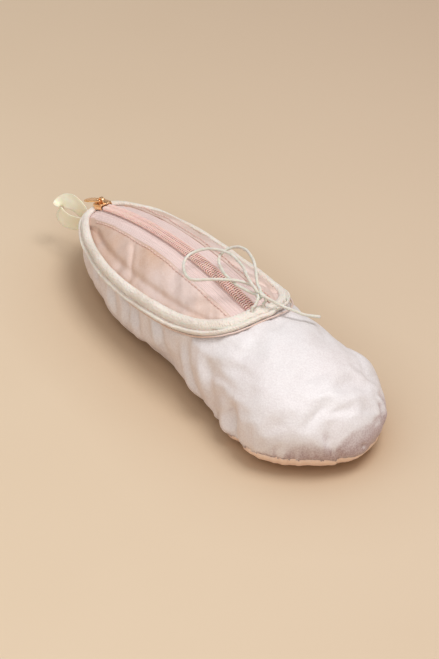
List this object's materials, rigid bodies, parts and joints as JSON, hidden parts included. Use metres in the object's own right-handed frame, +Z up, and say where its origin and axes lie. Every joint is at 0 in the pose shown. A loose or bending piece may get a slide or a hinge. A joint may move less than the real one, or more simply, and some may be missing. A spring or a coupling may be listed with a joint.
{
  "type": "slipper-shaped zip pouch",
  "caption": "Stuffed satin zip pouch in the shape of a ballet slipper, with knit-bound topline, cord bow, heel ribbon loop and metal zip slider.",
  "frame": {"origin": "centre of the flat underside of the sole, the face the pouch rests on", "axes": "+X from heel to toe, +Y to the left side, +Z up"},
  "size_m": [0.2618, 0.0815, 0.0663],
  "materials": {
    "satin": "pale pink satin",
    "satin_sole": "pale pink satin",
    "satin_panel": "pale pink satin",
    "wadding": "white polyester wadding",
    "lining": "plain cotton",
    "binding": "cream knit",
    "cord": "covered elastic cord, off-white",
    "thread": "pink sewing thread",
    "tape": "woven pink zip tape",
    "coil": "pink nylon coil",
    "rose_gold": "polished rose-gold plate",
    "ribbon": "cream satin ribbon"
  },
  "bodies": {
    "pouch": {"upper_satin": "satin", "sole_satin": "satin_sole", "upper_wadding": "wadding", "sole_wadding": "wadding", "lining_bag": "lining", "topline_binding": "binding", "drawstring_cord": "cord", "zip_bar_tack": "thread"},
    "mouth_left": {"zip_panel_left": "satin_panel", "zip_tape_left": "tape", "zip_coil_left": "coil", "zip_topstitch_left": "thread"},
    "mouth_right": {"zip_panel_right": "satin_panel", "zip_tape_right": "tape", "zip_coil_right": "coil", "zip_topstitch_right": "thread"},
    "slider": {"slider_body": "rose_gold"},
    "pull": {"pull_tab": "rose_gold"},
    "loop": {"hang_loop": "ribbon"},
    "bow": {"bow_knot": "cord", "bow_legs": "cord", "bow_loops": "cord", "bow_tail": "cord"}
  },
  "joints": [
    {"name": "slider_travel", "type": "hinge", "parent": "pouch", "child": "slider", "pos_m": [-0.0121, 0, -0.2314], "axis": [0, 1, 0], "range_deg": [0, 26]},
    {"name": "pull_swing", "type": "hinge", "parent": "slider", "child": "pull", "pos_m": [-0.10927, 0, 0.04056], "axis": [0, 1, 0], "range_deg": [0, 125]},
    {"name": "mouth_left_spread", "type": "hinge", "parent": "pouch", "child": "mouth_left", "pos_m": [-0.034, 0, 0.024], "axis": [-0.9969, 0, -0.0788], "range_deg": [0, 26], "deforming": ["zip_panel_left", "zip_tape_left", "zip_coil_left", "zip_topstitch_left"]},
    {"name": "mouth_right_spread", "type": "hinge", "parent": "pouch", "child": "mouth_right", "pos_m": [-0.034, 0, 0.024], "axis": [0.9969, 0, 0.0788], "range_deg": [0, 26], "deforming": ["zip_panel_right", "zip_tape_right", "zip_coil_right", "zip_topstitch_right"]},
    {"name": "hang_loop_swing", "type": "hinge", "parent": "pouch", "child": "loop", "pos_m": [-0.117, -0.0072, 0.0245], "axis": [0, 0, 1], "range_deg": [-4, 28]},
    {"name": "bow_lift", "type": "hinge", "parent": "pouch", "child": "bow", "pos_m": [0.041, 0, 0.053], "axis": [0, 1, 0], "range_deg": [0, 50], "deforming": ["bow_legs", "bow_loops", "bow_tail"]}
  ],
  "couplings": [
    {"joint": "mouth_left_spread", "follows": "slider_travel", "ratio": 1},
    {"joint": "mouth_right_spread", "follows": "slider_travel", "ratio": 1}
  ]
}
